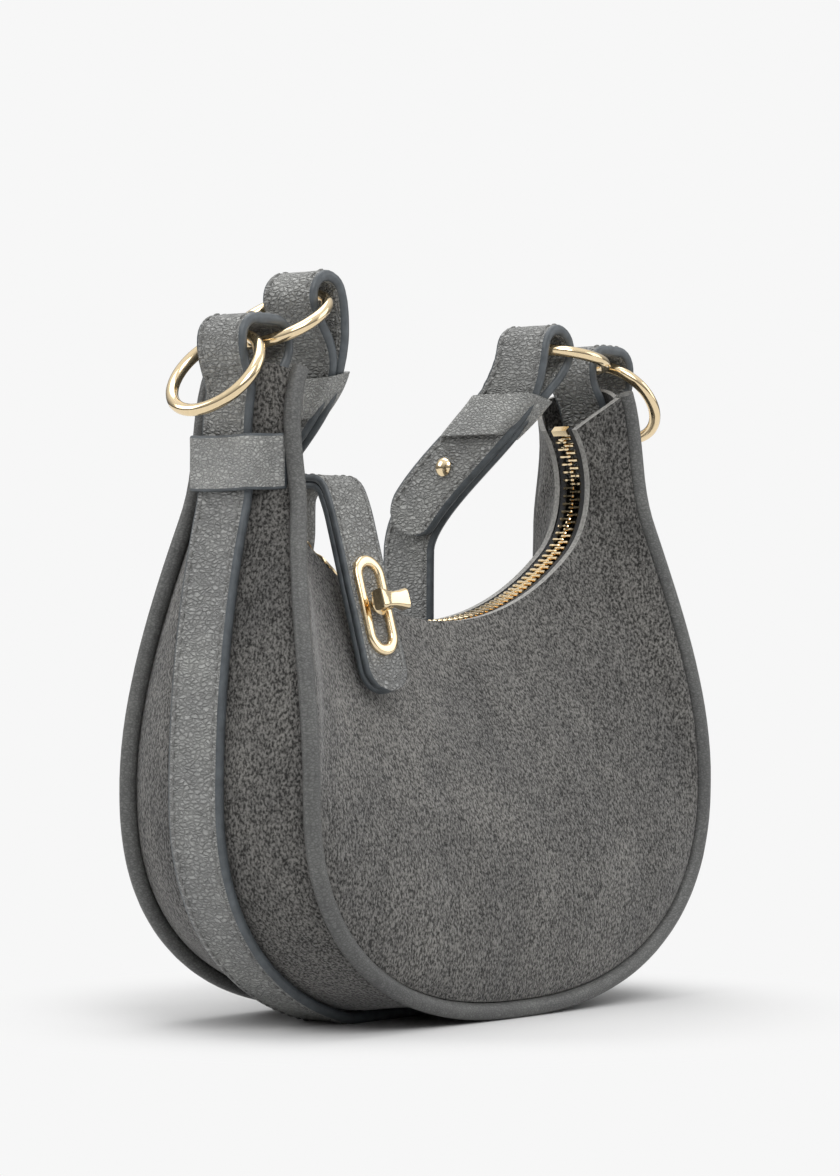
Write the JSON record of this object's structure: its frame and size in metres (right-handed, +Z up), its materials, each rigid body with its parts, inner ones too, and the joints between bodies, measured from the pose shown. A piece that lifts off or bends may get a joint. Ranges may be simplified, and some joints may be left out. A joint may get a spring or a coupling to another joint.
{
  "type": "half moon bag",
  "caption": "Crescent shoulder bag with a curved zip, ring-hung leather strap, side rings and a turn-lock tab.",
  "frame": {"origin": "middle of the bottom, on the surface that the bag stands on", "axes": "+Z up, X along the width with the closure tab's horn at -X, the front with the tab looks to -Y"},
  "size_m": [0.2112, 0.0943, 0.2194],
  "materials": {
    "suede": "brushed grey suede with a short nap",
    "leather": "pebbled dark leather with painted edges",
    "band_leather": "smooth dark leather",
    "gold": "polished pale gold",
    "zip_metal": "polished pale gold zip",
    "tape": "dark twill tape",
    "lining": "dark cotton lining",
    "board": "stiff base board"
  },
  "bodies": {
    "bag": {"front_panel": "suede", "back_panel": "suede", "gusset": "suede", "front_piping": "leather", "back_piping": "leather", "gusset_strap": "leather", "left_tab_loop": "leather", "right_tab_loop": "leather", "tab_root": "leather", "left_band": "band_leather", "right_band": "band_leather", "front_zip_teeth": "zip_metal", "back_zip_teeth": "zip_metal", "left_zip_stop": "zip_metal", "right_zip_stop": "zip_metal", "front_zip_tape": "tape", "back_zip_tape": "tape", "front_lining": "lining", "back_lining": "lining", "gusset_lining": "lining", "inner_pocket": "lining", "base_board": "board"},
    "left_ring": {"left_outer_ring": "gold"},
    "right_ring": {"right_outer_ring": "gold"},
    "strap": {"left_strap_ring": "gold", "right_strap_ring": "gold", "shoulder_strap": "leather", "left_keeper": "band_leather", "right_keeper": "band_leather", "strap_stud": "gold"},
    "slider": {"zip_slider": "zip_metal"},
    "pull": {"zip_pull": "zip_metal"},
    "tab": {"closure_tab": "leather", "tab_backing": "band_leather", "lock_plate": "gold", "lock_back_plate": "gold", "lock_post": "gold"},
    "knob": {"lock_knob": "gold"}
  },
  "joints": [
    {"name": "strap_swing", "type": "hinge", "parent": "bag", "child": "strap", "pos_m": [0, 0, 0.198], "axis": [1, 0, 0], "range_deg": [0, 160], "deforming": ["left_tab_loop", "right_tab_loop"]},
    {"name": "left_ring_swing", "type": "hinge", "parent": "bag", "child": "left_ring", "pos_m": [-0.08621, 0, 0.198], "axis": [0, 1, 0], "range_deg": [0, 80]},
    {"name": "right_ring_swing", "type": "hinge", "parent": "bag", "child": "right_ring", "pos_m": [0.08621, 0, 0.198], "axis": [0, -1, 0], "range_deg": [0, 80]},
    {"name": "zip_travel", "type": "hinge", "parent": "bag", "child": "slider", "pos_m": [0, 0, 0.2175], "axis": [0, -1, 0], "range_deg": [0, 70]},
    {"name": "zip_pull_flip", "type": "hinge", "parent": "slider", "child": "pull", "pos_m": [-0.05573, 0, 0.13921], "axis": [0, -1, 0], "range_deg": [0, 60]},
    {"name": "tab_lift", "type": "hinge", "parent": "bag", "child": "tab", "pos_m": [-0.051, -0.0095, 0.15798], "axis": [-1, 0, 0], "range_deg": [0, 125]},
    {"name": "knob_turn", "type": "hinge", "parent": "tab", "child": "knob", "pos_m": [-0.051, -0.02, 0.12139], "axis": [0, -0.9612, 0.2758], "range_deg": [0, 90]}
  ]
}
